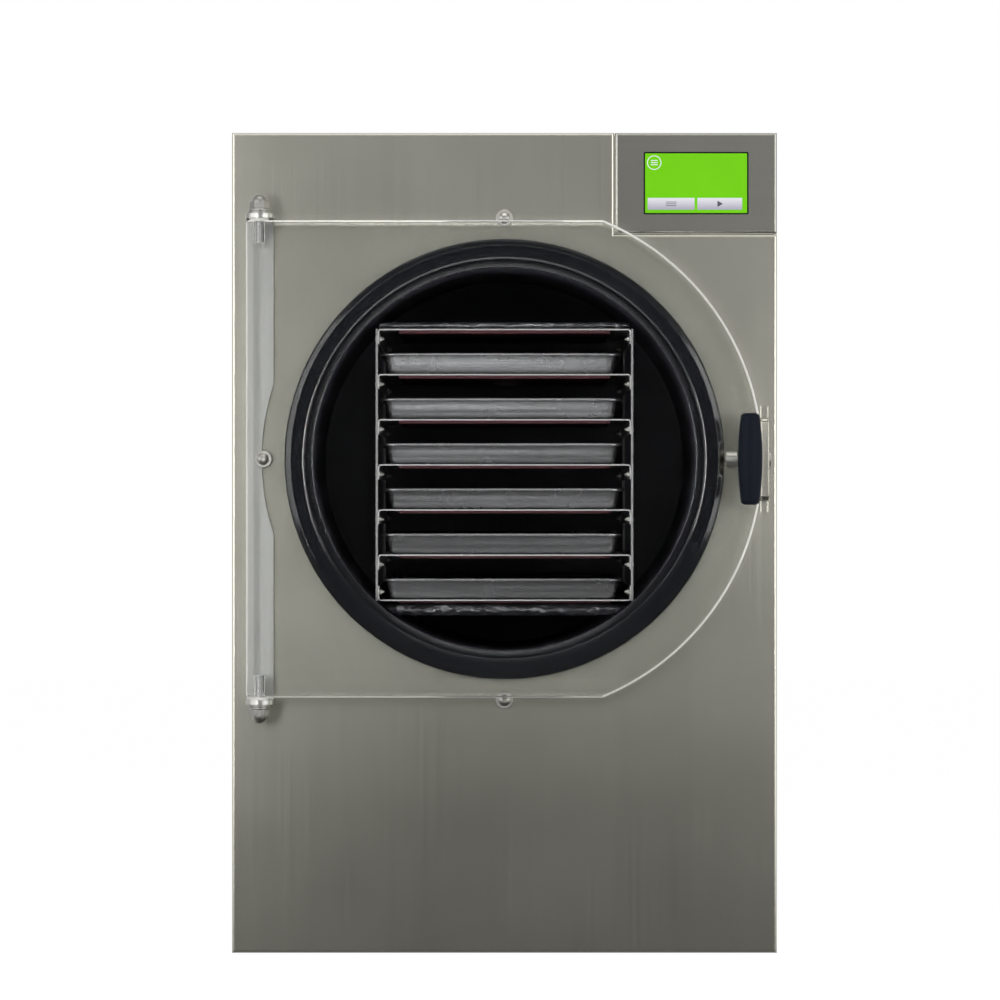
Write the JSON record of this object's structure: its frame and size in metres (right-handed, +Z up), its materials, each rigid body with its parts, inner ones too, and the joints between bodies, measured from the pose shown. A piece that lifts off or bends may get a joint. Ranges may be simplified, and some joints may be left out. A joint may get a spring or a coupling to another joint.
{
  "type": "freeze dryer",
  "caption": "Freeze dryer cabinet with a clear hinged door on a round vacuum chamber, a rack of heated shelves with trays, a touch screen, a turn latch and rear connections.",
  "frame": {"origin": "centre of the whole part's footprint box, on the surface that it stands on", "axes": "+Z up, -Y out of the door side, +X to the right as seen from the door side"},
  "size_m": [0.5144, 0.7422, 0.776],
  "materials": {
    "stainless": "brushed, satin",
    "fascia": "fine brushed, satin, darker",
    "galvanised": "zinc coated, satin",
    "drum_steel": "satin",
    "bright_steel": "polished",
    "screen": "gloss, lit",
    "black_plastic": "matt",
    "gloss_black": "gloss",
    "nylon": "matt",
    "board": "solder mask",
    "rubber": "matt, moulded",
    "foam": "closed-cell foam",
    "acrylic": "clear, polished edges",
    "silicone": "satin, dark red",
    "foil": "crinkled foil over a soft pad",
    "black_paint": "semi-gloss",
    "aluminium": "mill finish",
    "copper": "drawn tube",
    "brass": "machined"
  },
  "bodies": {
    "cabinet": {"base_pan": "galvanised", "glide_feet": "rubber", "cabinet_wrap": "stainless", "front_panel": "stainless", "mid_deck": "galvanised", "rear_panel": "galvanised", "control_fascia": "fascia", "touch_screen": "screen", "display_module": "black_plastic", "control_board": "board", "vacuum_chamber": "drum_steel", "door_gasket": "rubber", "evaporator_coil": "copper", "insulation_jacket": "foam", "chamber_saddles": "galvanised", "chamber_bolts": "bright_steel", "hinge_bracket": "stainless", "hinge_pins": "bright_steel", "hinge_bushes": "nylon", "hinge_washers": "bright_steel", "hinge_nuts": "bright_steel", "latch_keeper": "stainless", "rack_uprights": "stainless", "heater_mats": "silicone", "foil_pads": "foil", "compressor": "black_paint", "compressor_grommets": "rubber", "fan_shroud": "black_paint", "fan_motor": "black_paint", "condenser": "black_paint", "filter_drier": "copper", "copper_lines": "copper", "vacuum_port": "drum_steel", "drain_valve_body": "brass", "power_entry": "black_plastic", "shelf_1": "stainless", "shelf_2": "stainless", "shelf_3": "stainless", "shelf_4": "stainless", "shelf_5": "stainless", "shelf_6": "stainless", "shelf_7": "stainless", "tray_1": "stainless", "tray_2": "stainless", "tray_3": "stainless", "tray_4": "stainless", "tray_5": "stainless", "tray_6": "stainless"},
    "door": {"door_panel": "acrylic"},
    "handle": {"latch_handle": "black_plastic", "latch_shaft": "bright_steel", "latch_cross_pin": "bright_steel", "latch_collars": "bright_steel"},
    "fan": {"fan_rotor": "aluminium"},
    "drain_lever": {"drain_valve_lever": "black_plastic", "drain_valve_plug": "bright_steel"},
    "power_switch": {"switch_rocker": "gloss_black"}
  },
  "joints": [
    {"name": "door_hinge", "type": "hinge", "parent": "cabinet", "child": "door", "pos_m": [-0.2304, -0.3278, 0.468], "axis": [0, 0, -1], "range_deg": [0, 170]},
    {"name": "handle_turn", "type": "hinge", "parent": "door", "child": "handle", "pos_m": [0.2299, -0.3278, 0.468], "axis": [0, 1, 0], "range_deg": [0, 90]},
    {"name": "fan_spin", "type": "hinge", "parent": "cabinet", "child": "fan", "pos_m": [-0.115, 0.288, 0.126], "axis": [0, 1, 0], "continuous": true},
    {"name": "drain_lever_turn", "type": "hinge", "parent": "cabinet", "child": "drain_lever", "pos_m": [0, 0.3321, 0.341], "axis": [0, 0, 1], "range_deg": [0, 90]},
    {"name": "switch_rock", "type": "hinge", "parent": "cabinet", "child": "power_switch", "pos_m": [0.205, 0.3041, 0.166], "axis": [-1, 0, 0], "range_deg": [0, 16]}
  ]
}
